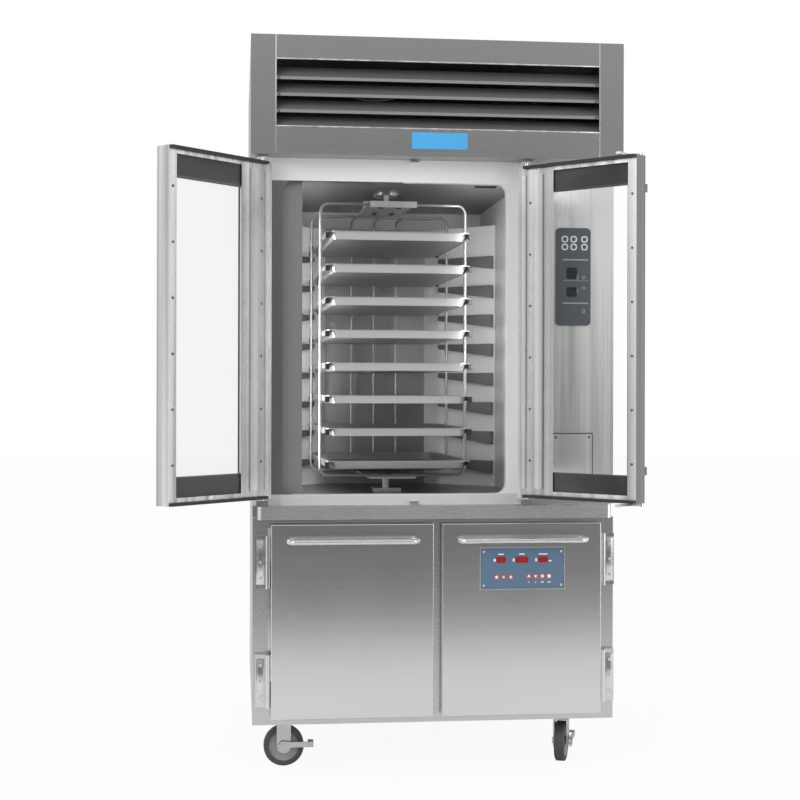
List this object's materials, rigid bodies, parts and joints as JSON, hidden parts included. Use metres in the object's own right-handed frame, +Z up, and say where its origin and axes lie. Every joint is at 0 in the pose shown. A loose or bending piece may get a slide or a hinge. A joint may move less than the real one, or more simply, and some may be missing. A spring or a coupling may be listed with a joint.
{
  "type": "rack oven with proofing cabinet",
  "caption": "Compact rotating-rack bakery oven with glazed double doors and a louvred canopy, standing on a two-door proofing cabinet with casters.",
  "frame": {"origin": "on the floor under the centre of the cabinet", "axes": "X to the right seen from the front, Y into the oven, Z up"},
  "size_m": [1.419, 1.4494, 2.295],
  "materials": {
    "brushed_stainless": "brushed stainless sheet",
    "polished_stainless": "polished stainless wire and hardware",
    "mineral_wool": "mineral wool batts",
    "dark_board": "black insulating board",
    "motor_paint": "grey enamel",
    "panel_film": "dark slate membrane film",
    "door_glass": "clear tempered glass",
    "black_rubber": "black silicone rubber",
    "blue_plate": "bare blue enamelled plate",
    "tray_aluminium": "pressed aluminium sheet",
    "zinc_steel": "bright zinc-plated steel",
    "wheel_rubber": "dark grey rubber"
  },
  "bodies": {
    "cabinet": {"base_chassis": "brushed_stainless", "base_sheets": "brushed_stainless", "proofer_runners": "brushed_stainless", "drip_ledge": "brushed_stainless", "oven_skins": "brushed_stainless", "chamber_liner": "brushed_stainless", "duct_panels": "brushed_stainless", "oven_front_frame": "brushed_stainless", "column_fascia": "brushed_stainless", "canopy_fascia": "brushed_stainless", "canopy_casing": "brushed_stainless", "louvre_blades": "brushed_stainless", "flue_spigot": "brushed_stainless", "humidifier": "brushed_stainless", "frame_hardware": "polished_stainless", "base_hinge_posts": "polished_stainless", "rack_bearings": "polished_stainless", "insulation": "mineral_wool", "fan_motor": "motor_paint", "heater_elements": "polished_stainless", "rack_gearmotor": "motor_paint", "oven_control_panel": "panel_film", "electrics_box": "motor_paint", "name_plate": "blue_plate", "caster_plates": "zinc_steel"},
    "fan": {"fan_impeller": "brushed_stainless"},
    "rack": {"rack_loops": "polished_stainless", "rack_rails": "brushed_stainless", "trays": "tray_aluminium", "rack_hanger": "brushed_stainless"},
    "left_door": {"left_door_shell": "brushed_stainless", "left_door_core": "dark_board", "left_door_glass": "door_glass", "left_door_gasket": "black_rubber"},
    "right_door": {"right_door_shell": "brushed_stainless", "right_door_core": "dark_board", "right_door_glass": "door_glass", "right_door_gasket": "black_rubber"},
    "latch": {"door_latch": "polished_stainless"},
    "base_left_door": {"base_left_door_panel": "brushed_stainless", "base_left_door_fittings": "polished_stainless", "base_left_door_core": "mineral_wool", "base_left_door_gasket": "black_rubber"},
    "base_right_door": {"base_right_door_panel": "brushed_stainless", "base_right_door_fittings": "polished_stainless", "base_right_door_core": "mineral_wool", "base_right_door_gasket": "black_rubber", "proofer_control_panel": "panel_film"},
    "caster_fl": {"caster_fl_fork": "zinc_steel"},
    "wheel_fl": {"caster_fl_wheel": "wheel_rubber"},
    "brake_fl": {"caster_fl_lever": "zinc_steel"},
    "caster_fr": {"caster_fr_fork": "zinc_steel"},
    "wheel_fr": {"caster_fr_wheel": "wheel_rubber"},
    "brake_fr": {"caster_fr_lever": "zinc_steel"},
    "caster_bl": {"caster_bl_fork": "zinc_steel"},
    "wheel_bl": {"caster_bl_wheel": "wheel_rubber"},
    "caster_br": {"caster_br_fork": "zinc_steel"},
    "wheel_br": {"caster_br_wheel": "wheel_rubber"}
  },
  "joints": [
    {"name": "left_door_hinge", "type": "hinge", "parent": "cabinet", "child": "left_door", "pos_m": [-0.532, -0.59, 1.35], "axis": [0, 0, -1], "range_deg": [-135, 25]},
    {"name": "right_door_hinge", "type": "hinge", "parent": "cabinet", "child": "right_door", "pos_m": [0.275, -0.59, 1.35], "axis": [0, 0, 1], "range_deg": [-135, 25]},
    {"name": "base_left_hinge", "type": "hinge", "parent": "cabinet", "child": "base_left_door", "pos_m": [-0.5135, -0.581, 0.469], "axis": [0, 0, -1], "range_deg": [0, 110]},
    {"name": "base_right_hinge", "type": "hinge", "parent": "cabinet", "child": "base_right_door", "pos_m": [0.5205, -0.581, 0.469], "axis": [0, 0, 1], "range_deg": [0, 110]},
    {"name": "rack_turn", "type": "hinge", "parent": "cabinet", "child": "rack", "pos_m": [-0.114, -0.145, 1.35], "axis": [0, 0, 1], "continuous": true},
    {"name": "fan_turn", "type": "hinge", "parent": "cabinet", "child": "fan", "pos_m": [-0.114, 0.34, 1.3], "axis": [0, 1, 0], "continuous": true},
    {"name": "latch_turn", "type": "hinge", "parent": "right_door", "child": "latch", "pos_m": [0.57022, -0.83643, 1.35], "axis": [0, 0, -1], "range_deg": [0, 90]},
    {"name": "swivel_fl", "type": "hinge", "parent": "cabinet", "child": "caster_fl", "pos_m": [-0.427, -0.435, 0.14], "axis": [0, 0, 1], "continuous": true},
    {"name": "roll_fl", "type": "hinge", "parent": "caster_fl", "child": "wheel_fl", "pos_m": [-0.461, -0.435, 0.0625], "axis": [0, -1, 0], "continuous": true},
    {"name": "brake_lever_fl", "type": "hinge", "parent": "caster_fl", "child": "brake_fl", "pos_m": [-0.461, -0.435, 0.0625], "axis": [0, -1, 0], "range_deg": [0, 25]},
    {"name": "swivel_fr", "type": "hinge", "parent": "cabinet", "child": "caster_fr", "pos_m": [0.427, -0.435, 0.14], "axis": [0, 0, 1], "continuous": true},
    {"name": "roll_fr", "type": "hinge", "parent": "caster_fr", "child": "wheel_fr", "pos_m": [0.41537, -0.46695, 0.0625], "axis": [0.9397, -0.342, 0], "continuous": true},
    {"name": "brake_lever_fr", "type": "hinge", "parent": "caster_fr", "child": "brake_fr", "pos_m": [0.41537, -0.46695, 0.0625], "axis": [0.9397, -0.342, 0], "range_deg": [0, 25]},
    {"name": "swivel_bl", "type": "hinge", "parent": "cabinet", "child": "caster_bl", "pos_m": [-0.427, 0.435, 0.14], "axis": [0, 0, 1], "continuous": true},
    {"name": "roll_bl", "type": "hinge", "parent": "caster_bl", "child": "wheel_bl", "pos_m": [-0.41, 0.46444, 0.0625], "axis": [-0.866, 0.5, 0], "continuous": true},
    {"name": "swivel_br", "type": "hinge", "parent": "cabinet", "child": "caster_br", "pos_m": [0.427, 0.435, 0.14], "axis": [0, 0, 1], "continuous": true},
    {"name": "roll_br", "type": "hinge", "parent": "caster_br", "child": "wheel_br", "pos_m": [0.4211, 0.46848, 0.0625], "axis": [-0.9848, -0.1736, 0], "continuous": true}
  ]
}
